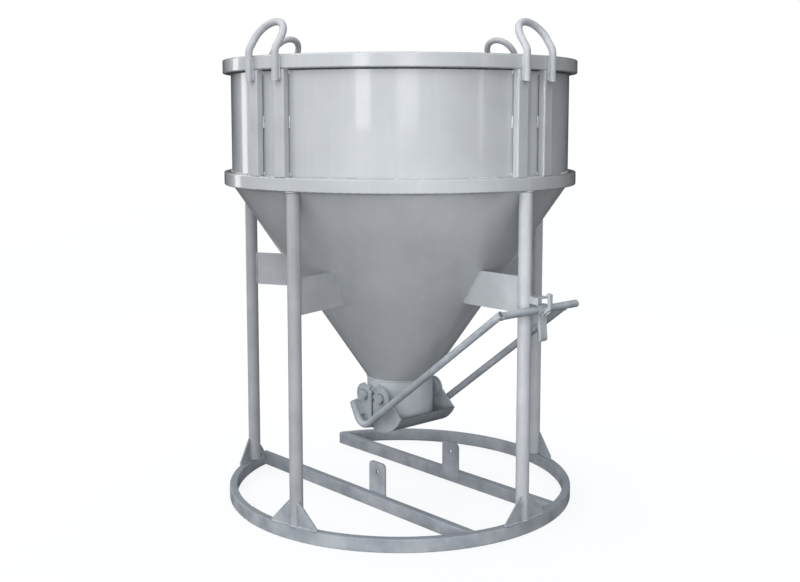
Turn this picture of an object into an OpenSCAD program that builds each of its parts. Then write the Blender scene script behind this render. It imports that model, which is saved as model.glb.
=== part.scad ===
// Concrete bucket with a round hopper on four legs and a geared two-jaw gate under its outlet.
// Frame: +Z up from the ground, +X towards the gate lever's handle, origin on the hopper's axis.

/* [Hopper] */
// Outer diameter of the cylindrical shell
shell_od = 1290; // [1150:10:1400]
// Wall of the shell and of the cone
shell_wall = 4; // [3:0.5:6]
// Height of the cylindrical shell
shell_h = 465; // [380:5:560]
// Height of the cone, from the outlet up to the shell
cone_h = 761; // [680:1:860]
// Outer diameter of the outlet neck
outlet_od = 260; // [230:2:280]
// Wall of the outlet neck
outlet_wall = 5; // [4:0.5:8]
// Height of the top of the outlet neck above the ground
outlet_z = 464; // [440:1:520]

/* [Bands and base] */
// Height of the rolled section used for bands, uprights and base
section_h = 50; // [40:1:60]
// Depth of that section
section_d = 30; // [25:1:40]
// Wall of that section
section_wall = 4; // [3:0.5:6]
// Radius of that section's outer corners
section_corner = 5; // [3:0.5:10]
// Gap between an upright and the shell
upright_gap = 3; // [2:0.5:6]
// Distance of each base chord from the middle of the bucket
chord_y = 215; // [205:1:260]
// Width of a chord tab
tab_w = 90; // [60:1:110]
// Height of a chord tab above the ground
tab_top = 168; // [140:1:190]
// Height of a chord tab's lower edge above the ground
tab_foot = 20; // [5:1:35]
// Thickness of a chord tab
tab_t = 8; // [6:0.5:10]
// Place of the chord tabs along X
tab_x = 90; // [40:1:140]
// Diameter of the hole in a chord tab
tab_hole_d = 14; // [10:1:20]
// Distance from a tab's top edge to its hole
tab_hole_drop = 38; // [25:1:50]
// Radius of a tab's upper corners
tab_corner_r = 18; // [8:1:28]

/* [Legs] */
// Outer diameter of a leg tube
leg_od = 48; // [42:1:60]
// Wall of a leg tube
leg_wall = 4; // [3:0.5:6]
// Angle from one leg to the next
leg_step = 76; // [72:1:78]
// Thickness of the plates between leg and cone, and of the foot gussets
plate_t = 6; // [4:0.5:10]
// Height of a leg plate
leg_plate_h = 130; // [100:1:160]
// Height of a leg plate's lower edge above the ground
leg_plate_z = 795; // [760:1:830]
// Length of a foot gusset along the base ring
gusset_l = 78; // [50:1:90]
// Height of a foot gusset
gusset_h = 90; // [60:1:120]
// Height of the square toe at a foot gusset's outer end
gusset_toe = 8; // [4:1:15]

/* [Lifting loops] */
// Diameter of the loop rod
loop_rod_d = 25; // [20:1:30]
// Spacing of a loop's two legs
loop_w = 138; // [120:1:155]
// Height of a loop above the rim
loop_rise = 124; // [110:1:150]
// Inward lean of a loop
loop_lean = 34; // [20:1:38]
// Length of a loop leg below the top of the rim
loop_drop = 90; // [60:1:140]
// Radius of the bend where a loop starts to lean
loop_bend_r = 40; // [25:1:60]
// Height above the rim where that bend starts
loop_bend_z = 5; // [0:1:10]
// Plan angle of each loop from X
front_loop = 2.2; // [0:0.1:6]
left_loop = 96.7; // [90:0.1:100]
rear_loop = 185.9; // [180:0.1:190]
right_loop = 274.6; // [270:0.1:280]

/* [Gate] */
// Spacing of the two jaw pivots
pivot_gap = 94; // [88:1:100]
// Height of the jaw pivots above the ground
pivot_z = 398; // [392:1:402]
// Inner radius of a jaw's pan about its pivot
pan_r = 127; // [125:0.5:135]
// Thickness of a jaw's pan
pan_t = 4; // [3:0.5:6]
// Gap between the neck's lower edge and a pan
pan_gap = 2; // [1:0.5:4]
// Gap between the pans of the two closed jaws
seam_gap = 1.5; // [1:0.1:3]
// Gap between the side plates of the two closed jaws
plate_gap = 5; // [3:0.5:8]
// Angle from straight down to a pan's outer lip
lip_angle = 63; // [58:1:68]
// Angle from straight down to the square of the rear jaw's flat back
back_angle = 58; // [54:1:62]
// Space between the neck and that flat back as it swings past
back_gap = 11; // [9:0.5:14]
// Thickness of a jaw's side plates and their teeth
jaw_plate_t = 8; // [6:0.5:12]
// Teeth on a full turn of the jaw gear
gear_teeth = 10; // [10:2:16]
// Pressure angle of the teeth
pressure_angle = 25; // [22:0.5:28]
// Height of a tooth above the pitch line, in modules
tooth_tip = 0.7; // [0.5:0.05:0.8]
// Depth of a tooth space below the pitch line, in modules
tooth_root = 1; // [0.9:0.05:1.1]
// Play between meshing teeth, along the pitch line
backlash = 2.5; // [1.5:0.1:3.5]
// Radius of a side plate's outer half about its pivot
lobe_r = 46; // [40:1:52]
// Thickness of the fixed plates that carry the pivot pins
pivot_plate_t = 10; // [8:1:14]
// Corner radius of those plates about each pin
pivot_plate_r = 36; // [28:1:37]
// Depth of the saddle cut where those plates fit the neck
saddle_depth = 3; // [2:0.5:5]
// Diameter of a pivot pin
pin_d = 24; // [18:1:28]
// Thickness of a pivot washer
washer_t = 3; // [2:0.5:5]
// Outer diameter of a pivot washer
washer_od = 44; // [38:1:50]
// Width across flats of a pivot nut
nut_af = 36; // [32:1:42]
// Height of a pivot nut
nut_h = 11; // [8:1:20]
// Length of pin that shows past its nut
pin_end = 3; // [2:1:10]

/* [Lever] */
// Outer diameter of the lever tube
lever_od = 27; // [24:0.5:32]
// Wall of the lever tube
lever_wall = 3; // [2:0.5:4]
// Rise of the lever arms from the horizontal
lever_angle = 37; // [34:0.5:39]
// Height at which the line of the arms crosses the hopper's axis
lever_axis_z = 290; // [282:1:300]
// Place along X of the corner where an arm turns up to its jaw
lever_corner_x = -28; // [-34:1:-20]
// Angle of the turned-up tail from the horizontal
tail_angle = 118; // [112:1:124]
// Length of the tail from that corner
tail_l = 112; // [100:1:120]
// Bend radius of the lever tube
lever_bend_r = 45; // [38:1:48]
// Length of the crossbar past the far arm
handle_over = 60; // [40:1:90]
// Length of the near arm past the crossbar
arm_over = 16; // [14:1:30]
// Gap between the crossbar and the front leg
rest_gap = 1.5; // [1:0.1:4]
// Length of the packer between a tail and its jaw plate
packer_l = 56; // [50:1:58]
// Gap that the packer fills, from the jaw plate to the tube
packer_t = 16; // [12:0.5:20]
// Width of that packer
packer_w = 22; // [16:1:26]

/* [Latch] */
// Place of the latch along the crossbar
latch_y = 44; // [42:1:60]
// Width of the latch sleeve
sleeve_w = 28; // [22:1:34]
// Wall of the latch sleeve
sleeve_wall = 6.5; // [5:0.5:9]
// Thickness of the latch hook
hook_t = 12; // [8:1:16]
// Width of the hook's upright
hook_w = 13; // [10:1:16]
// Width of the hook's tail, a flat strap
tail_w = 34; // [28:1:36]
// Thickness of that strap
tail_t = 11; // [8:1:14]
// Length of the hook's tail below the crossbar
hook_tail = 112; // [80:1:130]
// Reach of the hook's nose towards the bracket
nose_l = 9; // [6:1:12]
// Height of the hook's nose
nose_h = 12; // [8:1:16]
// Height of the bracket's top above the crossbar's axis
bracket_rise = 47; // [44:1:52]
// Reach of the bracket past the crossbar's axis
bracket_over = 22; // [18:1:26]
// Thickness of the bracket, a piece of angle
bracket_t = 6; // [5:0.5:8]
// Height of the bracket's near flange
bracket_h = 24; // [20:1:26]
// Clear space between the released hook and the bracket
hook_clear = 2; // [1.5:0.5:4]
// Width of each stop collar beside the sleeve
collar_w = 9; // [6:1:12]
// Wall of each stop collar
collar_wall = 5; // [3:0.5:8]

/* [Fits] */
// Radial clearance of a pin in its bore
fit = 0.05; // [0.02:0.01:0.1]
// Side clearance between pieces that turn past each other
side_gap = 0.4; // [0.3:0.1:0.8]

/* [Hidden] */
$fn = 96;

paint = "#aab4bd";
steel = "#8d949a";
cut = 1; // how far a cutting solid runs past what it cuts
bend_lap = 2; // how far a straight bar runs into a bend
bend_swell = 0.2; // how much fuller a bend is than its bar

// Hopper and rings
shell_r = shell_od / 2;
outlet_r = outlet_od / 2;
ring_r = shell_r + section_d;
ring_in_r = ring_r - section_d;
cone_top_z = outlet_z + cone_h;
rim_z = cone_top_z + shell_h;
cone_slope = (shell_r - outlet_r) / cone_h;
cone_wall = shell_wall * sqrt(1 + cone_slope * cone_slope);
chord_out = chord_y + section_d / 2;
chord_in = chord_y - section_d / 2;
chord_rear_x = -sqrt(ring_r * ring_r - chord_out * chord_out);

// Legs, seen from above: the front one stands under the handle
leg_r = ring_r - leg_od / 2;
front_leg = 0;
left_leg = leg_step;
right_leg = -leg_step;
rear_leg = -2 * leg_step;
gusset_reach = leg_od / 2 + gusset_l;
gusset_r = sqrt(ring_r * ring_r - gusset_reach * gusset_reach) - plate_t / 2;

// Lifting loops and their uprights
loop_r = ring_r + loop_rod_d / 2;
loop_half = asin(loop_w / 2 / loop_r);
loop_x = loop_r * cos(loop_half);
loop_neck = (loop_rise - loop_bend_z - loop_bend_r * sin(loop_lean)) / cos(loop_lean)
    - loop_w / 2 - loop_rod_d / 2;

// Gate, measured outwards from the neck along Y
pivot_x = pivot_gap / 2;
plate_back_y = outlet_r - saddle_depth;
plate_face_y = plate_back_y + pivot_plate_t;
jaw_in_y = plate_face_y + side_gap;
jaw_out_y = jaw_in_y + jaw_plate_t;
washer_y = jaw_out_y + side_gap;
nut_y = washer_y + washer_t;
pin_tip_y = nut_y + nut_h + pin_end;
pin_r = pin_d / 2;
bore_r = pin_r + fit;
pan_out_r = pan_r + pan_t;
seam_x = pivot_x - seam_gap / 2;
// The rear jaw's back is flat, at this distance from its pivot
back_r = outlet_r - pivot_x + back_gap;

// Jaw gear
gear_module = pivot_gap / gear_teeth;
pitch_r = pivot_gap / 2;
base_r = pitch_r * cos(pressure_angle);
tip_r = pitch_r + tooth_tip * gear_module;
root_r = pitch_r - tooth_root * gear_module;
tooth_step = 360 / gear_teeth;
teeth_above = 2;
teeth_below = 1;
flank_points = 6;
// The side plate starts below the other jaw's teeth
plate_seam_x = pivot_x - plate_gap / 2;
plate_top_z = -sqrt(tip_r * tip_r - pow(pivot_x + plate_gap / 2, 2)) - 0.6 * gear_module;
// Angles at which the plates' upper edges leave the root circle
front_shoulder = 17;
rear_shoulder = -29;

// Lever
lever_r = lever_od / 2;
lever_bore_r = lever_r - lever_wall;
lever_y = jaw_out_y + packer_t + lever_r;
crossbar_x = leg_r + leg_od / 2 + rest_gap + lever_r;
crossbar_z = lever_axis_z + crossbar_x * tan(lever_angle);
corner_z = lever_axis_z + lever_corner_x * tan(lever_angle);
bend_turn = 180 - (tail_angle - lever_angle);
bend_tangent = lever_bend_r * tan(bend_turn / 2);
bend_mid = (tail_angle + lever_angle) / 2;
bend_reach = lever_bend_r / cos(bend_turn / 2);
arm_l = (crossbar_x - lever_corner_x) / cos(lever_angle);
lever_corner = [lever_corner_x, corner_z];

// Latch, measured from the crossbar's axis
sleeve_r = lever_r + fit + sleeve_wall;
upright_x = bracket_over + hook_clear + nose_l;
nose_z = bracket_rise + hook_clear;
bracket_back = 20;
bracket_side = 6;
collar_r = lever_r + collar_wall;

function polar(r, a) = [r * cos(a), r * sin(a)];
// Involute function of an angle in degrees, as degrees of arc
function involute(a) = tan(a) * 180 / PI - a;
// Half of a tooth's width at radius r, in degrees about the pivot
function tooth_half(r) =
    (90 / gear_teeth) - backlash / 4 / pitch_r * 180 / PI
    + involute(pressure_angle) - involute(acos(min(1, base_r / r)));
function flank_r(i) = max(base_r, root_r) + (tip_r - max(base_r, root_r)) * i / (flank_points - 1);

// Places its children at a plan angle and radius
module at(angle, r = 0, z = 0) {
    rotate(angle) translate([r, 0, z]) children();
}

// Stands a flat outline up in the XZ plane, t thick towards +Y from y
module upright_plate(y, t) {
    translate([0, y + t, 0]) rotate([90, 0, 0]) linear_extrude(t) children();
}

// Round bar along Y
module cross_bar(r, y0, y1) {
    translate([0, y0, 0]) rotate([-90, 0, 0]) cylinder(h = y1 - y0, r = r);
}

// Bend of a round bar about the Z axis, from +X
module bend(angle, bend_r, r) {
    rotate_extrude(angle = angle) translate([bend_r, 0]) circle(r = r + bend_swell);
}

// Solid inside the outside of the cone
module cone_solid() {
    translate([0, 0, outlet_z]) cylinder(h = cone_h, r1 = outlet_r, r2 = shell_r);
}

// Rectangle from the origin with round corners
module rounded_rect(w, h, r) {
    translate([r, 0]) square([w - 2 * r, h]);
    translate([0, r]) square([w, h - 2 * r]);
    for (x = [r, w - r], y = [r, h - r]) translate([x, y]) circle(r = r);
}

// Cross-section of the rectangular tube, w wide and h tall
module tube_profile(w, h) {
    difference() {
        rounded_rect(w, h, section_corner);
        translate([section_wall, section_wall]) square([w - 2 * section_wall, h - 2 * section_wall]);
    }
}

// Rolled channel round the shell, open towards it
module band(z) {
    inside = section_d + section_corner;
    translate([0, 0, z]) rotate_extrude() translate([shell_r, 0]) difference() {
        translate([-section_corner, 0]) rounded_rect(inside, section_h, section_corner);
        translate([-inside, -cut]) square([inside, section_h + 2 * cut]);
        translate([-cut, section_wall])
            square([section_d - section_wall + cut, section_h - 2 * section_wall]);
    }
}

module shell() {
    color(paint) translate([0, 0, cone_top_z]) difference() {
        cylinder(h = shell_h, r = shell_r);
        translate([0, 0, -cut]) cylinder(h = shell_h + 2 * cut, r = shell_r - shell_wall);
    }
}

module rim_band() {
    color(paint) band(rim_z - section_h);
}

module mid_band() {
    color(paint) band(cone_top_z);
}

module cone() {
    color(paint) difference() {
        cone_solid();
        translate([0, 0, outlet_z - cut])
            cylinder(h = cone_h + 2 * cut,
                r1 = outlet_r - cone_wall - cut * cone_slope,
                r2 = shell_r - cone_wall + cut * cone_slope);
    }
}

// Inside of a front jaw about its pivot, grown outwards; flat cuts its back as on the rear jaw
module jaw_inside(grow, flat) {
    far = 2 * pan_r;
    intersection() {
        circle(r = pan_r + grow);
        if (flat) rotate(back_angle - 90) translate([-far, -far]) square([far + back_r + grow, 2 * far]);
        else translate([-far, -far]) square(2 * far);
    }
}

// What the neck loses outside one jaw, with the front jaw's side towards +X
module neck_waste(flat) {
    difference() {
        translate([0, -outlet_od, pivot_z - 2 * pan_r]) cube([outlet_od, 2 * outlet_od, 2 * pan_r]);
        translate([pivot_x, 0, pivot_z]) upright_plate(-outlet_od - cut, 2 * (outlet_od + cut))
            jaw_inside(-pan_gap, flat);
    }
}

module outlet_neck() {
    neck_low = pivot_z - pan_r + pan_gap;
    color(paint) difference() {
        translate([0, 0, neck_low]) cylinder(h = outlet_z - neck_low, r = outlet_r);
        translate([0, 0, neck_low - cut])
            cylinder(h = outlet_z - neck_low + 2 * cut, r = outlet_r - outlet_wall);
        neck_waste(false);
        mirror([1, 0, 0]) neck_waste(true);
    }
}

// Two tubes between the bands, one behind each leg of a lifting loop, a little off the shell
module uprights(angle) {
    low = cone_top_z + section_h;
    tall = shell_h - 2 * section_h;
    deep = section_d - upright_gap;
    color(paint) for (side = [-1, 1]) at(angle + side * loop_half, shell_r + upright_gap, low)
        translate([0, -section_h / 2, 0]) linear_extrude(tall) tube_profile(deep, section_h);
}

// Bent rod: two straight legs, a lean inwards, and a half-round top
module loop(angle) {
    rod_r = loop_rod_d / 2;
    foot_z = rim_z - loop_drop;
    bend_z = rim_z + loop_bend_z;
    lean_x = loop_x - loop_bend_r * (1 - cos(loop_lean));
    lean_z = bend_z + loop_bend_r * sin(loop_lean);
    color(paint) rotate(angle) {
        for (side = [-1, 1]) translate([0, side * loop_w / 2, 0]) {
            translate([loop_x, 0, foot_z]) cylinder(h = bend_z - foot_z + bend_lap, r = rod_r);
            translate([loop_x - loop_bend_r, 0, bend_z]) rotate([90, 0, 0])
                bend(loop_lean, loop_bend_r, rod_r);
            translate([lean_x, 0, lean_z]) rotate([0, -loop_lean, 0]) translate([0, 0, -bend_lap])
                cylinder(h = loop_neck + 2 * bend_lap, r = rod_r);
        }
        translate([lean_x, 0, lean_z]) rotate([0, -loop_lean, 0]) translate([0, 0, loop_neck])
            rotate([90, 0, 90]) bend(180, loop_w / 2, rod_r);
    }
}

// Round bar on the axis of a leg that stands at plan angle 0
module leg_bar(r, low, high) {
    translate([leg_r, 0, low]) cylinder(h = high - low, r = r);
}

// Leg tube, cut at the top to the slope of the cone
module leg(angle) {
    color(paint) rotate(angle) difference() {
        leg_bar(leg_od / 2, section_h, cone_top_z);
        leg_bar(leg_od / 2 - leg_wall, section_h - cut, cone_top_z + cut);
        cone_solid();
    }
}

// Radial plate from a leg to the cone
module leg_plate(angle) {
    color(paint) rotate(angle) difference() {
        translate([outlet_r, -plate_t / 2, leg_plate_z]) cube([leg_r - outlet_r, plate_t, leg_plate_h]);
        cone_solid();
        leg_bar(leg_od / 2, leg_plate_z - cut, leg_plate_z + leg_plate_h + cut);
    }
}

// Two wings on the base ring, one each side of a leg's foot
module gussets(angle) {
    tall = gusset_h + gusset_toe;
    color(paint) rotate(angle) difference() {
        for (side = [-1, 1]) translate([gusset_r - plate_t / 2, 0, section_h]) rotate([90, 0, 90])
            linear_extrude(plate_t)
                polygon([[side, 0], [side * gusset_reach, 0], [side * gusset_reach, gusset_toe],
                    [side * leg_od / 2, gusset_h], [side, tall]]);
        leg_bar(leg_od / 2, section_h - cut, section_h + tall + cut);
    }
}

// Rolled tube, open at the rear between the chords
module base_ring() {
    color(paint) difference() {
        rotate_extrude() translate([ring_in_r, 0]) tube_profile(section_d, section_h);
        translate([-ring_r - cut, -chord_out, -cut]) cube([ring_r, 2 * chord_out, section_h + 2 * cut]);
    }
}

// Straight tube across the base, its front end cut to the ring's inside
module chord(side) {
    color(paint) difference() {
        translate([chord_rear_x, side * chord_y - section_d / 2, 0]) rotate([90, 0, 90])
            linear_extrude(ring_in_r - chord_rear_x) tube_profile(section_d, section_h);
        difference() {
            translate([0, -ring_r, -cut]) cube([ring_r, 2 * ring_r, section_h + 2 * cut]);
            translate([0, 0, -2 * cut]) cylinder(h = section_h + 4 * cut, r = ring_in_r);
        }
    }
}

// Drilled tab on the inner face of a chord
module tab(side) {
    tall = tab_top - tab_foot;
    color(paint) translate([tab_x, 0, tab_foot]) upright_plate(side > 0 ? chord_in - tab_t : -chord_in, tab_t)
        difference() {
            union() {
                translate([-tab_w / 2, 0]) square([tab_w, tall - tab_corner_r]);
                translate([tab_corner_r - tab_w / 2, 0]) square([tab_w - 2 * tab_corner_r, tall]);
                for (s = [-1, 1]) translate([s * (tab_w / 2 - tab_corner_r), tall - tab_corner_r])
                    circle(r = tab_corner_r);
            }
            translate([0, tall - tab_hole_drop]) circle(d = tab_hole_d);
        }
}

// Fixed plate with a saddle for the neck and a bore for each pin
module pivot_plate(side) {
    color(paint) difference() {
        translate([0, 0, pivot_z]) upright_plate(side > 0 ? plate_back_y : -plate_face_y, pivot_plate_t)
            difference() {
                union() {
                    square([pivot_gap, 2 * pivot_plate_r], center = true);
                    for (s = [-1, 1]) translate([s * pivot_x, 0]) circle(r = pivot_plate_r);
                }
                for (s = [-1, 1]) translate([s * pivot_x, 0]) circle(r = bore_r);
            }
        translate([0, 0, pivot_z - pivot_plate_r - cut])
            cylinder(h = 2 * (pivot_plate_r + cut), r = outlet_r);
    }
}

// Places its children at all four pivots, with +Z pointing outwards along Y
module at_pivots(y) {
    for (front = [-1, 1], side = [-1, 1])
        translate([front * pivot_x, side * y, pivot_z]) rotate([-side * 90, 0, 0]) children();
}

module pivot_pins() {
    color(steel) at_pivots(plate_back_y) cylinder(h = pin_tip_y - plate_back_y, r = pin_r);
}

module pivot_washers() {
    color(steel) at_pivots(washer_y) difference() {
        cylinder(h = washer_t, d = washer_od);
        translate([0, 0, -cut]) cylinder(h = washer_t + 2 * cut, r = bore_r);
    }
}

module pivot_nuts() {
    color(steel) at_pivots(nut_y) difference() {
        cylinder(h = nut_h, d = nut_af / cos(30), $fn = 6);
        translate([0, 0, -cut]) cylinder(h = nut_h + 2 * cut, r = bore_r);
    }
}

// One involute tooth about the pivot, pointing along +X
module tooth() {
    flank = [for (i = [0 : flank_points - 1]) polar(flank_r(i), tooth_half(flank_r(i)))];
    foot = polar(root_r - gear_module, tooth_half(base_r));
    mirrored = [for (i = [flank_points - 1 : -1 : 0]) [flank[i][0], -flank[i][1]]];
    polygon(concat([foot], flank, mirrored, [[foot[0], -foot[1]]]));
}

// Region of a jaw below its pivot, from the seam to the lip
module jaw_region(seam, flat) {
    far = 2 * pan_out_r;
    lip = polar(1, lip_angle - 90);
    lip_r = 0.95 * (flat ? back_r / cos(lip_angle - back_angle) : pan_out_r);
    shoulder = polar(root_r, flat ? rear_shoulder : front_shoulder);
    polygon([[0, 0], [-seam, plate_top_z], [-seam, -far], [far, -far], far * lip, lip_r * lip, shoulder]);
}

// Side plate of a jaw about its pivot; first is the angle of the tooth at the mesh
module jaw_side(y, first, flat) {
    difference() {
        union() {
            cross_bar(root_r, y, y + jaw_plate_t);
            upright_plate(y, jaw_plate_t) intersection() {
                circle(r = lobe_r);
                translate([0, -lobe_r]) square([lobe_r, 2 * lobe_r]);
            }
            upright_plate(y, jaw_plate_t) intersection() {
                jaw_inside(pan_t, flat);
                jaw_region(plate_seam_x, flat);
            }
            for (i = [-teeth_above : teeth_below])
                upright_plate(y, jaw_plate_t) rotate(180 + first + i * tooth_step) tooth();
        }
        cross_bar(bore_r, y - cut, y + jaw_plate_t + cut);
    }
}

// Curved pan of a jaw between its side plates
module jaw_pan(flat) {
    color(paint) translate([pivot_x, 0, pivot_z]) upright_plate(-jaw_in_y, 2 * jaw_in_y) intersection() {
        difference() {
            jaw_inside(pan_t, flat);
            jaw_inside(0, flat);
        }
        jaw_region(seam_x, flat);
    }
}

module jaw_plate(side, first, flat) {
    color(paint) translate([pivot_x, 0, pivot_z]) jaw_side(side > 0 ? jaw_in_y : -jaw_out_y, first, flat);
}

module front_jaw_pan() {
    jaw_pan(false);
}

module front_jaw_plate(side) {
    jaw_plate(side, 0, false);
}

module rear_jaw_pan() {
    mirror([1, 0, 0]) jaw_pan(true);
}

// The rear jaw's teeth stand in the front jaw's tooth spaces
module rear_jaw_plate(side) {
    mirror([1, 0, 0]) jaw_plate(side, tooth_step / 2, true);
}

// Round bar along a line from the lever's corner, between two distances from it
module lever_bar(angle, from, to, r) {
    translate([lever_corner[0], 0, lever_corner[1]]) rotate([0, 90 - angle, 0])
        translate([0, 0, from]) cylinder(h = to - from, r = r);
}

// Tail, bend and arm of the lever
module arm_bar(arm_end) {
    centre = lever_corner + polar(bend_reach, bend_mid);
    lever_bar(tail_angle, bend_tangent - bend_lap, tail_l, lever_r);
    lever_bar(lever_angle, bend_tangent - bend_lap, arm_end, lever_r);
    translate([centre[0], 0, centre[1]]) rotate([90, 0, 0]) rotate(tail_angle + 90)
        bend(bend_turn, lever_bend_r, lever_r);
}

// Tubular arm; the near one runs past the crossbar and the far one stops under it
module lever_arm(side) {
    arm_end = side > 0 ? arm_l : arm_l + arm_over;
    color(paint) translate([0, side * lever_y, 0]) difference() {
        arm_bar(arm_end);
        lever_bar(tail_angle, bend_tangent + bend_lap, tail_l + cut, lever_bore_r);
        lever_bar(lever_angle, bend_tangent + bend_lap, arm_end + cut, lever_bore_r);
        if (side > 0) translate([crossbar_x, 0, crossbar_z]) cross_bar(lever_r, -lever_od, lever_od);
    }
}

module lever_crossbar() {
    low_y = -lever_y;
    high_y = lever_y + handle_over;
    color(paint) difference() {
        translate([crossbar_x, 0, crossbar_z]) difference() {
            cross_bar(lever_r, low_y, high_y);
            cross_bar(lever_bore_r, low_y - cut, high_y - lever_wall);
        }
        translate([0, -lever_y, 0])
            lever_bar(lever_angle, arm_l - lever_od, arm_l + lever_od, lever_r);
    }
}

// Blocks that stand the lever's tails off the rear jaw's plates, clear of the front jaw
module lever_packers() {
    middle = lever_corner + polar(tail_l - packer_l / 2, tail_angle);
    color(paint) for (side = [-1, 1]) difference() {
        translate([middle[0], side > 0 ? jaw_out_y : -lever_y, middle[1]]) rotate([0, 90 - tail_angle, 0])
            translate([-packer_w / 2, 0, -packer_l / 2]) cube([packer_w, lever_y - jaw_out_y, packer_l]);
        translate([0, side * lever_y, 0]) lever_bar(tail_angle, 0, tail_l + packer_l, lever_r);
    }
}

// Angle on the front leg that the hook catches
module latch_bracket() {
    top = crossbar_z + bracket_rise;
    wide = latch_y + hook_t / 2 + bracket_side;
    long = crossbar_x + bracket_over - leg_r + bracket_back;
    color(paint) difference() {
        translate([leg_r - bracket_back, 0, top - bracket_h]) difference() {
            cube([long, wide, bracket_h]);
            translate([-cut, bracket_t, -cut]) cube([long + 2 * cut, wide, bracket_h - bracket_t + cut]);
        }
        leg_bar(leg_od / 2, top - bracket_h - cut, top + cut);
    }
}

// Rings that keep the latch in its place along the crossbar
module latch_collars() {
    color(paint) translate([crossbar_x, 0, crossbar_z]) for (side = [-1, 1]) {
        y = latch_y + side * (sleeve_w / 2 + side_gap + collar_w / 2);
        difference() {
            cross_bar(collar_r, y - collar_w / 2, y + collar_w / 2);
            cross_bar(lever_r, y - collar_w, y + collar_w);
        }
    }
}

module latch_sleeve() {
    color(paint) translate([crossbar_x, latch_y, crossbar_z]) difference() {
        cross_bar(sleeve_r, -sleeve_w / 2, sleeve_w / 2);
        cross_bar(lever_r + fit, -sleeve_w, sleeve_w);
    }
}

// Hook with a nose above the bracket and a strap to pull
module latch_hook() {
    outer_x = upright_x + hook_w;
    top_z = nose_z + nose_h;
    color(paint) translate([crossbar_x, latch_y, crossbar_z]) difference() {
        union() {
            upright_plate(-hook_t / 2, hook_t)
                polygon([[0, 0], [upright_x, sleeve_r / 2], [upright_x, nose_z], [upright_x - nose_l, nose_z],
                    [upright_x - nose_l, top_z - nose_h / 2], [upright_x, top_z], [outer_x, top_z - nose_h / 3],
                    [outer_x, sleeve_r / 4], [tail_t / 2, -sleeve_r - tail_t / 2]]);
            upright_plate(-tail_w / 2, tail_w)
                polygon([[-tail_t / 2, 0], [tail_t / 2, 0], [1.5 * tail_t, -hook_tail + tail_t],
                    [tail_t, -hook_tail], [tail_t / 2, -hook_tail + tail_t / 2]]);
        }
        cross_bar(sleeve_r, -tail_w, tail_w);
    }
}

shell();
rim_band();
mid_band();
cone();
outlet_neck();
uprights(front_loop);  // uprights_front
uprights(left_loop);  // uprights_left
uprights(rear_loop);  // uprights_rear
uprights(right_loop);  // uprights_right
loop(front_loop);  // loop_front
loop(left_loop);  // loop_left
loop(rear_loop);  // loop_rear
loop(right_loop);  // loop_right
leg(front_leg);  // leg_front
leg(left_leg);  // leg_left
leg(rear_leg);  // leg_rear
leg(right_leg);  // leg_right
leg_plate(front_leg);  // leg_plate_front
leg_plate(left_leg);  // leg_plate_left
leg_plate(rear_leg);  // leg_plate_rear
leg_plate(right_leg);  // leg_plate_right
gussets(front_leg);  // gussets_front
gussets(left_leg);  // gussets_left
gussets(rear_leg);  // gussets_rear
gussets(right_leg);  // gussets_right
base_ring();
chord(1);  // chord_left
chord(-1);  // chord_right
tab(1);  // tab_left
tab(-1);  // tab_right
pivot_plate(1);  // pivot_plate_left
pivot_plate(-1);  // pivot_plate_right
pivot_pins();
pivot_washers();
pivot_nuts();
front_jaw_pan();
front_jaw_plate(1);  // front_jaw_plate_left
front_jaw_plate(-1);  // front_jaw_plate_right
rear_jaw_pan();
rear_jaw_plate(1);  // rear_jaw_plate_left
rear_jaw_plate(-1);  // rear_jaw_plate_right
lever_packers();
lever_arm(1);  // lever_arm_left
lever_arm(-1);  // lever_arm_right
lever_crossbar();
latch_bracket();
latch_collars();
latch_sleeve();
latch_hook();
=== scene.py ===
import math

import bpy
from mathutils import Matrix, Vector


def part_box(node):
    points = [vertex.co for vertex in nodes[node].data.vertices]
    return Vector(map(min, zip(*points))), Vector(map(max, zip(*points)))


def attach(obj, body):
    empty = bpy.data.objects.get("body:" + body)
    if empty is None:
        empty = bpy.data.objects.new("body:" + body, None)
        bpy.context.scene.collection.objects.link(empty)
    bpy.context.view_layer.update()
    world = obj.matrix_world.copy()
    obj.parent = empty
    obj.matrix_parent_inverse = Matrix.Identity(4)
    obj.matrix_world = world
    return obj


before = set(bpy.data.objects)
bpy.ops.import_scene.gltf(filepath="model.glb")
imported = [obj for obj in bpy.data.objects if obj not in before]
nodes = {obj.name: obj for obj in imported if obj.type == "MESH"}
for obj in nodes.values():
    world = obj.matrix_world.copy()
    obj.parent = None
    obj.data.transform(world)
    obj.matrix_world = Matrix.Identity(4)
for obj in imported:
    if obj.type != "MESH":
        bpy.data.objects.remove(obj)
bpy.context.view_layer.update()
scene = bpy.context.scene
print("frame loaded,", len(nodes), "nodes")


def hexColour(text):
    values = [int(text[i:i + 2], 16) / 255 for i in (1, 3, 5)]
    linear = [v / 12.92 if v <= 0.04045 else ((v + 0.055) / 1.055) ** 2.4 for v in values]
    return (*linear, 1.0)


def addNode(tree, kind, settings=None, inputs=None, links=None):
    node = tree.nodes.new(kind)
    for key, value in (settings or {}).items():
        setattr(node, key, value)
    for key, value in (inputs or {}).items():
        node.inputs[key].default_value = value
    for key, socket in (links or {}).items():
        tree.links.new(socket, node.inputs[key])
    return node


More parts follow.
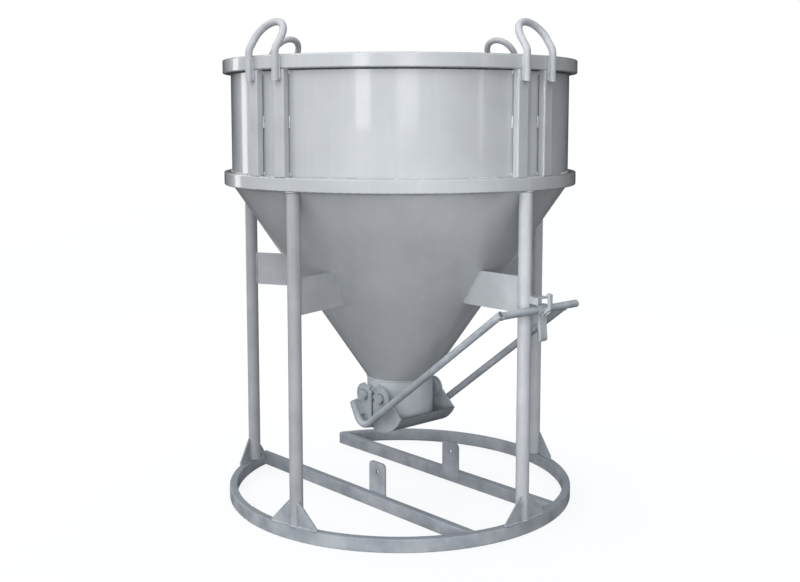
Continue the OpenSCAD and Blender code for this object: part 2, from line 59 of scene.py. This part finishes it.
# Camera, at the photograph's place and lens
cameraSet = {
    "place": (3.176, -2.860, 1.478),
    "pitchDown": 6.43,
    "sensor": 36,
    "lens": 49.4,
    "shiftY": -0.0625,
}
camData = bpy.data.cameras.new("photoCamera")
camData.sensor_width = cameraSet["sensor"]
camData.lens = cameraSet["lens"]
camData.shift_y = cameraSet["shiftY"]
camera = bpy.data.objects.new("photoCamera", camData)
scene.collection.objects.link(camera)
camera.location = cameraSet["place"]
flat = Vector((-cameraSet["place"][0], -cameraSet["place"][1], 0)).normalized()
pitch = math.radians(cameraSet["pitchDown"])
gaze = flat * math.cos(pitch) - Vector((0, 0, math.sin(pitch)))
camera.rotation_euler = gaze.to_track_quat("-Z", "Y").to_euler()
scene.camera = camera
print("camera set")


# Levels that all the sprayed finishes share: a band is where a pattern starts and is full
sprayRule = {
    "driftBand": (0.32, 0.70),
    "streakBand": (0.52, 0.78),
    "streakDraw": 0.06,  # below 1 draws the streaks out upright
    "gritBand": (0.60, 0.74),
    "mudAndShadeBand": (0.10, 0.60),  # how far a face looks up
    "greaseAndShadeCore": 0.001,
    "greaseAndShadeTone": "#3a3d42",
    "dullBand": (0.3, 0.7),
    "peelDeep": 0.0006,
    "dentDeep": 0.006,
    "ior": 1.5,
}


# Grey synthetic enamel, sprayed on hot-rolled steel: a satin skin with faint orange peel,
# slow drifts of tone where the spray lay thick or thin, and dust that dulls it
def sprayedEnamel(name, look):
    material = bpy.data.materials.new(name)
    material.use_nodes = True
    tree = material.node_tree
    shader = tree.nodes["Principled BSDF"]
    coords = addNode(tree, "ShaderNodeTexCoord")
    place = coords.outputs["Object"]

    # spray drift, patches of about driftMm
    drift = addNode(tree, "ShaderNodeTexNoise", None,
                    {"Scale": 1000 / look["driftMm"], "Detail": 3.0, "Roughness": 0.55}, {"Vector": place})
    driftRamp = addNode(tree, "ShaderNodeValToRGB", None, None, {"Fac": drift.outputs["Fac"]})
    for stop, level, tone in zip(driftRamp.color_ramp.elements, sprayRule["driftBand"], ("dark", "light")):
        stop.position = level
        stop.color = hexColour(look[tone])

    # thin upright streaks left by rain and wiping
    stretched = addNode(tree, "ShaderNodeMapping", None, {"Scale": (1, 1, sprayRule["streakDraw"])},
                        {"Vector": place})
    streak = addNode(tree, "ShaderNodeTexNoise", None,
                     {"Scale": 1000 / look["streakMm"], "Detail": 4.0, "Roughness": 0.6},
                     {"Vector": stretched.outputs["Vector"]})
    low, high = sprayRule["streakBand"]
    streakMask = addNode(tree, "ShaderNodeMapRange", None,
                         {"From Min": low, "From Max": high, "To Min": 0.0, "To Max": look["streak"]},
                         {"Value": streak.outputs["Fac"]})
    streaked = addNode(tree, "ShaderNodeMix", {"data_type": "RGBA"}, None,
                       {"Factor": streakMask.outputs["Result"], "A": driftRamp.outputs["Color"]})
    streaked.inputs["B"].default_value = hexColour(look["dust"])

    # specks of grit and scuffs, drawn coarse enough to show at this size
    grit = addNode(tree, "ShaderNodeTexNoise", None,
                   {"Scale": 1000 / look["gritMm"], "Detail": 5.0, "Roughness": 0.7}, {"Vector": place})
    low, high = sprayRule["gritBand"]
    gritMask = addNode(tree, "ShaderNodeMapRange", None,
                       {"From Min": low, "From Max": high, "To Min": 0.0, "To Max": look["grit"]},
                       {"Value": grit.outputs["Fac"]})
    soiled = addNode(tree, "ShaderNodeMix", {"data_type": "RGBA"}, None,
                     {"Factor": gritMask.outputs["Result"], "A": streaked.outputs["Result"]})
    soiled.inputs["B"].default_value = hexColour(look["soilAndShade"])
    colour = soiled.outputs["Result"]

    # cement dirt and painted shade on faces that look up: darker tops on the base for the shade under the
    # hopper, darker pan insides for the shade within them
    if look["mudAndShade"]:
        upFace = addNode(tree, "ShaderNodeSeparateXYZ", None, None, {"Vector": coords.outputs["Normal"]})
        low, high = sprayRule["mudAndShadeBand"]
        mudAndShadeMask = addNode(tree, "ShaderNodeMapRange", None,
                          {"From Min": low, "From Max": high, "To Min": 0.0, "To Max": look["mudAndShade"]},
                          {"Value": upFace.outputs["Z"]})
        mudAndShaded = addNode(tree, "ShaderNodeMix", {"data_type": "RGBA"}, None,
                        {"Factor": mudAndShadeMask.outputs["Result"], "A": colour})
        mudAndShaded.inputs["B"].default_value = hexColour(look["soilAndShade"])
        colour = mudAndShaded.outputs["Result"]

    # dark grease and painted shade along the seam where the jaws meet, at x = 0: the shade in the crevice of
    # the meshing teeth
    if look["greaseAndShade"]:
        offSeam = addNode(tree, "ShaderNodeSeparateXYZ", None, None, {"Vector": place})
        seamWay = addNode(tree, "ShaderNodeMath", {"operation": "ABSOLUTE"}, None, {0: offSeam.outputs["X"]})
        greaseAndShadeMask = addNode(tree, "ShaderNodeMapRange", None,
                             {"From Min": sprayRule["greaseAndShadeCore"], "From Max": look["greaseAndShadeMm"] / 1000,
                              "To Min": look["greaseAndShade"], "To Max": 0.0}, {"Value": seamWay.outputs["Value"]})
        greasedAndShaded = addNode(tree, "ShaderNodeMix", {"data_type": "RGBA"}, None,
                          {"Factor": greaseAndShadeMask.outputs["Result"], "A": colour})
        greasedAndShaded.inputs["B"].default_value = hexColour(sprayRule["greaseAndShadeTone"])
        colour = greasedAndShaded.outputs["Result"]
    tree.links.new(colour, shader.inputs["Base Color"])

    low, high = sprayRule["dullBand"]
    rough = addNode(tree, "ShaderNodeMapRange", None,
                    {"From Min": low, "From Max": high,
                     "To Min": look["gloss"], "To Max": look["gloss"] + look["dull"]},
                    {"Value": drift.outputs["Fac"]})
    tree.links.new(rough.outputs["Result"], shader.inputs["Roughness"])

    # orange peel of about 3 mm, drawn at peelMm so that it shows
    peel = addNode(tree, "ShaderNodeTexNoise", None,
                   {"Scale": 1000 / look["peelMm"], "Detail": 2.0}, {"Vector": place})
    dent = addNode(tree, "ShaderNodeTexNoise", None,
                   {"Scale": 1000 / look["dentMm"], "Detail": 1.0}, {"Vector": place})
    peelBump = addNode(tree, "ShaderNodeBump", None,
                       {"Strength": look["peel"], "Distance": sprayRule["peelDeep"]},
                       {"Height": peel.outputs["Fac"]})
    dentBump = addNode(tree, "ShaderNodeBump", None,
                       {"Strength": look["dent"], "Distance": sprayRule["dentDeep"]},
                       {"Height": dent.outputs["Fac"], "Normal": peelBump.outputs["Normal"]})
    tree.links.new(dentBump.outputs["Normal"], shader.inputs["Normal"])
    shader.inputs["IOR"].default_value = sprayRule["ior"]
    shader.inputs["Coat Weight"].default_value = look["coat"]
    shader.inputs["Coat Roughness"].default_value = look["coatRough"]
    return material


# Every finish below is this paint with its own tone, wear and gloss; some also carry painted shade or a
# painted highlight
enamelBase = {
    "light": "#b1b4b7", "dark": "#a5a8ac", "dust": "#bbbdbf", "soilAndShade": "#86898d",
    "driftMm": 260, "streakMm": 26, "streak": 0.30, "gritMm": 9, "grit": 0.20,
    "gloss": 0.34, "dull": 0.14, "peelMm": 7, "peel": 0.25, "dentMm": 240, "dent": 0.25, "coat": 0.20,
    "coatRough": 0.09, "mudAndShade": 0.0, "greaseAndShade": 0.0, "greaseAndShadeMm": 9,
}
hopperEnamel = sprayedEnamel("hopperEnamel", {
    **enamelBase, "gloss": 0.18, "dull": 0.08, "coat": 0.8, "coatRough": 0.05, "grit": 0.10})
frameEnamel = sprayedEnamel("frameEnamel", {
    **enamelBase, "light": "#b0b3b7", "dark": "#a2a5aa", "driftMm": 140, "dent": 0.10})
# painted shade: a tone darker for the rear and right legs, which stand in the hopper's shade
paintedShadeEnamel = sprayedEnamel("paintedShadeEnamel", {
    **enamelBase, "light": "#a3a5a8", "dark": "#95979b", "driftMm": 140, "dent": 0.10})
# faces that look up are darker: painted shade where the hopper hides the sky, with cement dirt
baseEnamel = sprayedEnamel("baseEnamel", {
    **enamelBase, "light": "#a6aab0", "dark": "#848a92", "dust": "#bcc0c3", "soilAndShade": "#6b7078",
    "driftMm": 95, "streak": 0.12, "gritMm": 13, "grit": 0.5, "gloss": 0.40, "coat": 0.08, "dent": 0.10,
    "mudAndShade": 0.75})
# the gate is handled and splashed, so its paint is dull and gritty
gateLook = {
    **enamelBase, "light": "#a3a8ae", "dark": "#8c9299", "driftMm": 70, "streakMm": 12,
    "soilAndShade": "#6b7077", "grit": 0.55, "gritMm": 8, "gloss": 0.44, "coat": 0.06, "dent": 0.06}
gateEnamel = sprayedEnamel("gateEnamel", gateLook)
# painted shade inside the pans, which the cone keeps from the sky: darker tones, and a dark tone on faces
# that look up
panEnamel = sprayedEnamel("panEnamel", {
    **gateLook, "light": "#95999f", "dark": "#7d8289", "soilAndShade": "#43484e", "mudAndShade": 0.9})
# the jaws carry the dark grease and painted shade along their seam
jawEnamel = sprayedEnamel("jawEnamel", {**gateLook, "greaseAndShade": 0.85})
# dark washers: painted shade around the nuts, with oil dirt
washerDirtAndShadeEnamel = sprayedEnamel("washerDirtAndShadeEnamel", {**gateLook, "light": "#74797f", "dark": "#54595f"})
neckEnamel = sprayedEnamel("neckEnamel", {
    **gateLook, "light": "#afb4ba", "dark": "#a1a7ae", "grit": 0.3})
# the same paint over weld metal, where it lies thin on the crests
weldLook = {
    **enamelBase, "driftMm": 24, "streak": 0.0, "gritMm": 5, "grit": 0.35, "gloss": 0.38,
    "peel": 0.5, "dent": 0.0}
weldEnamel = sprayedEnamel("weldEnamel", {**weldLook, "light": "#b9bdc0", "dark": "#9a9ea3"})
# tacks lighter still: a painted highlight where they catch the light
tackHighlightEnamel = sprayedEnamel("tackHighlightEnamel", {**weldLook, "light": "#cfd2d4", "dark": "#adb1b5"})
# painted shade of the crevice under the rim, on bare mill scale where the spray did not reach
seamShadow = sprayedEnamel("seamShadow", {
    **weldLook, "light": "#54585d", "dark": "#34373b", "soilAndShade": "#2a2c2f", "coat": 0.0, "gloss": 0.6})
# rust and soil show through on the beads at the feet
footEnamel = sprayedEnamel("footEnamel", {
    **weldLook, "light": "#9fa4a9", "dark": "#858a90", "soilAndShade": "#816f60", "grit": 0.5})

# node names by how they start; what isn't named here gets the frame's paint
finishes = {
    "hopper": (hopperEnamel, ("shell", "cone", "rim_band", "mid_band")),
    "base": (baseEnamel, ("base_ring", "chord", "tab", "gussets")),
    "shade": (paintedShadeEnamel, ("leg_rear", "leg_right")),
    "gate": (gateEnamel, ("pivot_plate", "pivot_nuts", "pivot_pins", "lever", "latch")),
    "jaws": (jawEnamel, ("front_jaw_plate", "rear_jaw_plate")),
    "pans": (panEnamel, ("front_jaw_pan", "rear_jaw_pan")),
    "washers": (washerDirtAndShadeEnamel, ("pivot_washers",)),
    "neck": (neckEnamel, ("outlet_neck",)),
}
for name, node in nodes.items():
    chosen = frameEnamel
    for material, starts in finishes.values():
        if name.startswith(starts):
            chosen = material
    node.data.materials.clear()
    node.data.materials.append(chosen)
print("finishes on the nodes")


# Weld beads. Each is a round cord of ripples, half sunk in the corner that it fills
weldSet = {
    "ripple": 0.0045,
    "sides": 8,
    "waist": 0.86,
    "endTaper": 0.6,
    "leastSteps": 4,
    "leastRings": 24,
    "legTurns": {"front": 0, "left": 76, "rear": -152, "right": -76},
    "loopTurns": {"front": 2.2, "left": 96.7, "rear": 185.9, "right": 274.6},
    "loopLegMm": 69,
    "loopRingMm": 687.5,
}
loopHalf = math.degrees(math.asin(weldSet["loopLegMm"] / weldSet["loopRingMm"]))
beadMoulds = {}
upward = (0, 0, 1)


def spotAt(turn, out, side, high):
    angle = math.radians(turn)
    return Vector((out * math.cos(angle) - side * math.sin(angle),
                   out * math.sin(angle) + side * math.cos(angle), high))


def deselectAll():
    if bpy.context.object and bpy.context.object.mode != "OBJECT":
        bpy.ops.object.mode_set(mode="OBJECT")
    bpy.ops.object.select_all(action="DESELECT")


# a straight bead along +Z, one extrusion to a ripple
def mouldBead(length, radius):
    key = (round(length, 4), radius)
    if key in beadMoulds:
        return beadMoulds[key]
    deselectAll()
    bpy.ops.mesh.primitive_circle_add(vertices=weldSet["sides"], radius=radius * weldSet["endTaper"],
                                      fill_type="NGON")
    bead = bpy.context.object
    bpy.ops.object.mode_set(mode="EDIT")
    bpy.ops.mesh.select_all(action="SELECT")
    steps = max(weldSet["leastSteps"], round(2 * length / weldSet["ripple"]))
    size = weldSet["endTaper"]
    for step in range(1, steps + 1):
        bpy.ops.mesh.extrude_region_move(TRANSFORM_OT_translate={"value": (0, 0, length / steps)})
        wanted = 1.0 if step % 2 else weldSet["waist"]
        if step == steps:
            wanted = weldSet["endTaper"]
        grow = wanted / size
        size = wanted
        bpy.ops.transform.resize(value=(grow, grow, 1), center_override=(0, 0, length * step / steps))
    bpy.ops.mesh.select_all(action="SELECT")
    bpy.ops.mesh.normals_make_consistent(inside=False)
    bpy.ops.object.mode_set(mode="OBJECT")
    bpy.ops.object.shade_smooth()
    beadMoulds[key] = bead.data
    bpy.data.objects.remove(bead)
    return beadMoulds[key]


def straightBead(start, end, radius):
    along = end - start
    bead = bpy.data.objects.new("bead", mouldBead(along.length, radius).copy())
    scene.collection.objects.link(bead)
    bead.location = start
    bead.rotation_euler = along.to_track_quat("Z", "Y").to_euler()
    return bead


# a ring of ripples, or the stretches of it that lie inside the spans (degrees)
def ringBead(centre, axis, big, radius, spans=None):
    deselectAll()
    rings = max(weldSet["leastRings"], 2 * round(math.pi * big / weldSet["ripple"]))
    sides = weldSet["sides"]
    bpy.ops.mesh.primitive_torus_add(major_radius=big, minor_radius=radius, major_segments=rings,
                                     minor_segments=sides)
    bead = bpy.context.object
    mesh = bead.data

    def pick(test):
        mesh.polygons.foreach_set("select", [False] * len(mesh.polygons))
        mesh.edges.foreach_set("select", [False] * len(mesh.edges))
        chosen = [test(i // sides, v.co) for i, v in enumerate(mesh.vertices)]
        mesh.vertices.foreach_set("select", chosen)

    pick(lambda ring, co: ring % 2 == 0)
    bpy.ops.object.mode_set(mode="EDIT")
    bpy.ops.mesh.select_mode(type="VERT")
    bpy.ops.transform.shrink_fatten(value=-radius * (1 - weldSet["waist"]))
    bpy.ops.object.mode_set(mode="OBJECT")
    if spans:
        def outside(ring, co):
            turn = math.degrees(math.atan2(co.y, co.x)) % 360
            return not any((turn - low) % 360 <= high - low for low, high in spans)
        pick(outside)
        bpy.ops.object.mode_set(mode="EDIT")
        bpy.ops.mesh.delete(type="VERT")
        bpy.ops.mesh.select_all(action="SELECT")
        bpy.ops.mesh.fill_holes(sides=sides)
        bpy.ops.object.mode_set(mode="OBJECT")
    bpy.ops.object.shade_smooth()
    bead.location = centre
    bead.rotation_euler = Vector(upward).rotation_difference(Vector(axis)).to_euler()
    return bead


def finishWelds(name, beads, body, material):
    deselectAll()
    for bead in beads:
        bead.select_set(True)
    bpy.context.view_layer.objects.active = beads[0]
    if len(beads) > 1:
        bpy.ops.object.join()
    welds = bpy.context.object
    bpy.ops.object.transform_apply(location=True, rotation=True, scale=True)
    welds.name = name
    welds.data.name = name
    welds.data.materials.clear()
    welds.data.materials.append(material)
    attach(welds, body)


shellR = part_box("shell")[1].x
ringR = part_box("rim_band")[1].x
rimLow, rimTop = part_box("rim_band")[0].z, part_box("rim_band")[1].z
midLow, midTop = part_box("mid_band")[0].z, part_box("mid_band")[1].z
neckR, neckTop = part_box("outlet_neck")[1].x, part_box("outlet_neck")[1].z
legLow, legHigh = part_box("leg_front")
legR = (legLow.x + legHigh.x) / 2
tubeR = (legHigh.x - legLow.x) / 2
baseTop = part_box("base_ring")[1].z
coneSlope = (shellR - neckR) / (midLow - neckTop)
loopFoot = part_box("loop_front")[0].z

hopperWelds = {
    "band": 0.0032, "neck": 0.0030, "rim": 0.0018, "seam": 0.0042,
    "stitches": 16, "stitchTurn": 13,
    "proud": 0.0010, "neckProud": 0.0004, "sunk": 0.0005, "drop": 0.001, "rimDrop": 0.0006,
}
stitchStarts = [i * 360 / hopperWelds["stitches"] for i in range(hopperWelds["stitches"])]
stitches = [(start, start + hopperWelds["stitchTurn"]) for start in stitchStarts]
finishWelds("bandWelds", [
    ringBead((0, 0, midTop), upward, shellR + hopperWelds["proud"], hopperWelds["band"], stitches),
    ringBead((0, 0, midLow - hopperWelds["drop"]), upward, shellR - hopperWelds["sunk"], hopperWelds["band"]),
    ringBead((0, 0, rimTop - hopperWelds["rimDrop"]), upward, shellR, hopperWelds["rim"]),
], "frame", weldEnamel)
# dark bead in the corner under the rim: painted shade
finishWelds("rimSeamShade", [
    ringBead((0, 0, rimLow - hopperWelds["sunk"]), upward, shellR + hopperWelds["proud"],
             hopperWelds["seam"]),
], "frame", seamShadow)
finishWelds("neckWeld", [
    ringBead((0, 0, neckTop), upward, neckR + hopperWelds["neckProud"], hopperWelds["neck"]),
], "frame", weldEnamel)
print("hopper welds done")

loopWelds = {"bead": 0.0042, "out": 0.0026, "side": 0.0100, "below": 0.003, "above": 0.006}
tackWelds = {
    "bead": 0.0034, "side": 0.0258, "out": 0.0020,
    "heights": ((1.440, 1.482), (1.277, 1.289), (1.624, 1.638)),
}
for name, turn in weldSet["loopTurns"].items():
    beads = []
    tacks = []
    for half in (-1, 1):
        upright = turn + half * loopHalf
        for side in (-1, 1):
            at = side * loopWelds["side"]
            out = ringR + loopWelds["out"]
            beads.append(straightBead(spotAt(upright, out, at, loopFoot + loopWelds["below"]),
                                      spotAt(upright, out, at, rimTop - loopWelds["above"]),
                                      loopWelds["bead"]))
            at = side * tackWelds["side"]
            out = shellR + tackWelds["out"]
            for low, high in tackWelds["heights"]:
                tacks.append(straightBead(spotAt(upright, out, at, low), spotAt(upright, out, at, high),
                                          tackWelds["bead"]))
    finishWelds("loopWelds." + name, beads, "frame", weldEnamel)
    finishWelds("uprightTacks." + name, tacks, "frame", tackHighlightEnamel)
print("loop and upright welds done")

footWelds = {
    "bead": 0.0036, "plateOut": 0.6672, "plateIn": 0.6612, "reach": 0.098, "rise": 0.082,
    "halfTurn": 80, "proud": 0.0005, "off": 0.0012, "meet": 0.001, "lift": 0.001, "start": 0.004,
}
plateWelds = {"bead": 0.0036, "side": 0.0042, "low": 0.798, "high": 0.922}
for name, turn in weldSet["legTurns"].items():
    sole = baseTop + footWelds["lift"]
    outward = (turn - footWelds["halfTurn"], turn + footWelds["halfTurn"])
    legRing = tubeR + footWelds["proud"]
    beads = [ringBead(spotAt(turn, legR, 0, high), upward, legRing, footWelds["bead"], [outward])
             for high in (sole, midLow - footWelds["lift"])]
    for side in (-1, 1):
        for out in (footWelds["plateOut"] + footWelds["off"], footWelds["plateIn"] - footWelds["off"]):
            meet = math.sqrt(tubeR ** 2 - (out - legR) ** 2) + footWelds["meet"]
            beads.append(straightBead(spotAt(turn, out, side * meet, sole),
                                      spotAt(turn, out, side * footWelds["reach"], sole),
                                      footWelds["bead"]))
            beads.append(straightBead(spotAt(turn, out, side * meet, baseTop + footWelds["start"]),
                                      spotAt(turn, out, side * meet, baseTop + footWelds["rise"]),
                                      footWelds["bead"]))
    finishWelds("footWelds." + name, beads, "frame", footEnamel)
    beads = []
    coneLow = neckR + (plateWelds["low"] - neckTop) * coneSlope
    coneHigh = neckR + (plateWelds["high"] - neckTop) * coneSlope
    for side in (-1, 1):
        at = side * plateWelds["side"]
        beads.append(straightBead(spotAt(turn, legR - tubeR, at, plateWelds["low"]),
                                  spotAt(turn, legR - tubeR, at, plateWelds["high"]), plateWelds["bead"]))
        beads.append(straightBead(spotAt(turn, coneLow, at, plateWelds["low"]),
                                  spotAt(turn, coneHigh, at, plateWelds["high"]), plateWelds["bead"]))
    finishWelds("plateWelds." + name, beads, "frame", weldEnamel)
print("leg welds done")

# the chords' outer faces also meet the ring at the back, where the inner ones end free
chordWelds = {
    "bead": 0.0034, "ringInner": 0.645, "faces": {"inner": 0.1998, "outer": 0.2302},
    "low": 0.007, "high": 0.043, "sunk": 0.0006, "tabLift": 0.002,
}
tabLow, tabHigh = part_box("tab_left")
beads = []
for side in (-1, 1):
    for which, face in chordWelds["faces"].items():
        front = math.sqrt(chordWelds["ringInner"] ** 2 - face ** 2)
        ends = [front - chordWelds["sunk"]]
        if which == "outer":
            ends.append(-front + chordWelds["sunk"])
        for x in ends:
            beads.append(straightBead(Vector((x, side * face, chordWelds["low"])),
                                      Vector((x, side * face, chordWelds["high"])), chordWelds["bead"]))
    y = side * (tabHigh.y - chordWelds["sunk"])
    for x in (tabLow.x, tabHigh.x):
        beads.append(straightBead(Vector((x, y, tabLow.z + chordWelds["tabLift"])),
                                  Vector((x, y, chordWelds["high"])), chordWelds["bead"]))
finishWelds("chordWelds", beads, "frame", footEnamel)

gateWelds = {"bead": 0.0036, "x": 0.0290, "y": 0.1262, "inset": 0.002}
plateLow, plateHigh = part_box("pivot_plate_left")
beads = []
for x in (-gateWelds["x"], gateWelds["x"]):
    for y in (-gateWelds["y"], gateWelds["y"]):
        beads.append(straightBead(Vector((x, y, plateLow.z + gateWelds["inset"])),
                                  Vector((x, y, plateHigh.z - gateWelds["inset"])), gateWelds["bead"]))
finishWelds("pivotPlateWelds", beads, "frame", weldEnamel)

leverWelds = {"bead": 0.0026, "armRise": 37}
barLow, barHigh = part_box("lever_crossbar")
barR = (barHigh.x - barLow.x) / 2
bar = (barLow + barHigh) / 2
armRise = math.radians(leverWelds["armRise"])
armWay = Vector((math.cos(armRise), 0, math.sin(armRise)))
farArmY = sum(c.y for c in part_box("lever_arm_left")) / 2
nearArmY = sum(c.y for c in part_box("lever_arm_right")) / 2
finishWelds("leverWelds", [
    ringBead((bar.x, nearArmY + barR, bar.z), (0, 1, 0), barR, leverWelds["bead"]),
    ringBead(Vector((bar.x, farArmY, bar.z)) - armWay * barR, armWay, barR, leverWelds["bead"]),
], "rear_jaw", weldEnamel)

# above and below the flat leg of the angle, where it wraps the front leg
bracketWelds = {"bead": 0.0026, "thick": 0.006, "proud": 0.0004, "span": (4, 138)}
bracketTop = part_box("latch_bracket")[1].z
finishWelds("bracketWelds", [
    ringBead((legR, 0, high), upward, tubeR + bracketWelds["proud"], bracketWelds["bead"],
             [bracketWelds["span"]])
    for high in (bracketTop - bracketWelds["thick"], bracketTop)
], "frame", weldEnamel)
print("base, gate and lever welds done")

# Floor and light. The camera sees floor and sky at levels of their own, for a seamless white
studioSet = {
    "floorHalf": 14.0,
    "floor": "#4c4f51",
    "floorRough": 0.9,
    "sky": "#f8f9fa",
    "skyGlow": {"left": 42, "high": 52, "from": -0.15, "dim": 0.03, "bright": 2.28},
    "skySeen": 1.07,
    "floorSeen": 0.91,
    # left: degrees left of the camera; spread: width of the beam; mirrored: seen in the paint's gloss
    "lights": {
        "frontFill": {"left": -1, "far": 3.6, "high": 0.7, "aim": (0, 0, 0.8), "size": (1.4, 0.9),
                      "watts": 31, "spread": 180, "mirrored": False},
        "gridPanel": {"left": 27, "far": 2.8, "high": 1.3, "aim": (0.80, 0.05, 1.08), "size": (0.4, 1.2),
                      "watts": 1.5, "spread": 28, "mirrored": False},
        "stripMid": {"left": 22, "far": 4.8, "high": 2.0, "aim": (0, 0, 2.0), "size": (0.75, 1.2),
                     "watts": 9, "spread": 180, "mirrored": True},
        "panelFront": {"left": -4.5, "far": 5.2, "high": 2.0, "aim": (0, 0, 2.0), "size": (1.2, 1.2),
                       "watts": 9, "spread": 180, "mirrored": True},
        "stripRight": {"left": -50, "far": 4.8, "high": 2.0, "aim": (0, 0, 2.0), "size": (0.25, 1.6),
                       "watts": 2.4, "spread": 180, "mirrored": True},
        "rimStrip": {"left": 119, "far": 4.2, "high": 1.5, "aim": (0, 0, 1.4), "size": (0.6, 2.0),
                     "watts": 8, "spread": 180, "mirrored": True},
        "backFill": {"left": -128, "far": 3.8, "high": 1.6, "aim": (0, 0, 0.9), "size": (2.2, 1.6),
                     "watts": 38, "spread": 180, "mirrored": False},
        "backPanel": {"left": 172, "far": 3.8, "high": 1.7, "aim": (0, 0, 0.9), "size": (2.2, 1.6),
                      "watts": 70, "spread": 180, "mirrored": False},
    },
}
deselectAll()
bpy.ops.mesh.primitive_plane_add(size=2 * studioSet["floorHalf"], location=(0, 0, 0))
floor = bpy.context.object
floor.name = "studioFloor"
floorPaint = bpy.data.materials.new("floorPaint")
floorPaint.use_nodes = True
floorShader = floorPaint.node_tree.nodes["Principled BSDF"]
floorShader.inputs["Base Color"].default_value = hexColour(studioSet["floor"])
floorShader.inputs["Roughness"].default_value = studioSet["floorRough"]
floorShader.inputs["Emission Color"].default_value = hexColour(studioSet["sky"])
seen = addNode(floorPaint.node_tree, "ShaderNodeLightPath")
floorGlow = addNode(floorPaint.node_tree, "ShaderNodeMapRange", None, {"To Max": studioSet["floorSeen"]},
                    {"Value": seen.outputs["Is Camera Ray"]})
floorPaint.node_tree.links.new(floorGlow.outputs["Result"], floorShader.inputs["Emission Strength"])
floor.data.materials.append(floorPaint)

world = bpy.data.worlds.new("studioSky")
scene.world = world
world.use_nodes = True
sky = world.node_tree.nodes["Background"]
sky.inputs["Color"].default_value = hexColour(studioSet["sky"])
towardsCamera = math.atan2(cameraSet["place"][1], cameraSet["place"][0])
glowSet = studioSet["skyGlow"]
glowTurn = towardsCamera - math.radians(glowSet["left"])
glowHigh = math.radians(glowSet["high"])
way = addNode(world.node_tree, "ShaderNodeTexCoord").outputs["Generated"]
facing = addNode(world.node_tree, "ShaderNodeVectorMath", {"operation": "DOT_PRODUCT"}, None, {0: way})
facing.inputs[1].default_value = (math.cos(glowTurn) * math.cos(glowHigh),
                                  math.sin(glowTurn) * math.cos(glowHigh), math.sin(glowHigh))
glow = addNode(world.node_tree, "ShaderNodeMapRange", None,
               {"From Min": glowSet["from"], "To Min": glowSet["dim"], "To Max": glowSet["bright"]},
               {"Value": facing.outputs["Value"]})
ray = addNode(world.node_tree, "ShaderNodeLightPath")
level = addNode(world.node_tree, "ShaderNodeMix", {"data_type": "FLOAT"}, {"B": studioSet["skySeen"]},
                {"Factor": ray.outputs["Is Camera Ray"], "A": glow.outputs["Result"]})
world.node_tree.links.new(level.outputs["Result"], sky.inputs["Strength"])
scene.view_settings.view_transform = "Standard"
for name, look in studioSet["lights"].items():
    data = bpy.data.lights.new(name, "AREA")
    data.shape = "RECTANGLE"
    data.size, data.size_y = look["size"]
    data.energy = look["watts"]
    data.spread = math.radians(look["spread"])
    lamp = bpy.data.objects.new(name, data)
    lamp.visible_camera = False
    lamp.visible_glossy = look["mirrored"]
    scene.collection.objects.link(lamp)
    angle = towardsCamera - math.radians(look["left"])
    lamp.location = (look["far"] * math.cos(angle), look["far"] * math.sin(angle), look["high"])
    lamp.rotation_euler = (Vector(look["aim"]) - lamp.location).to_track_quat("-Z", "Y").to_euler()
print("floor and light set")
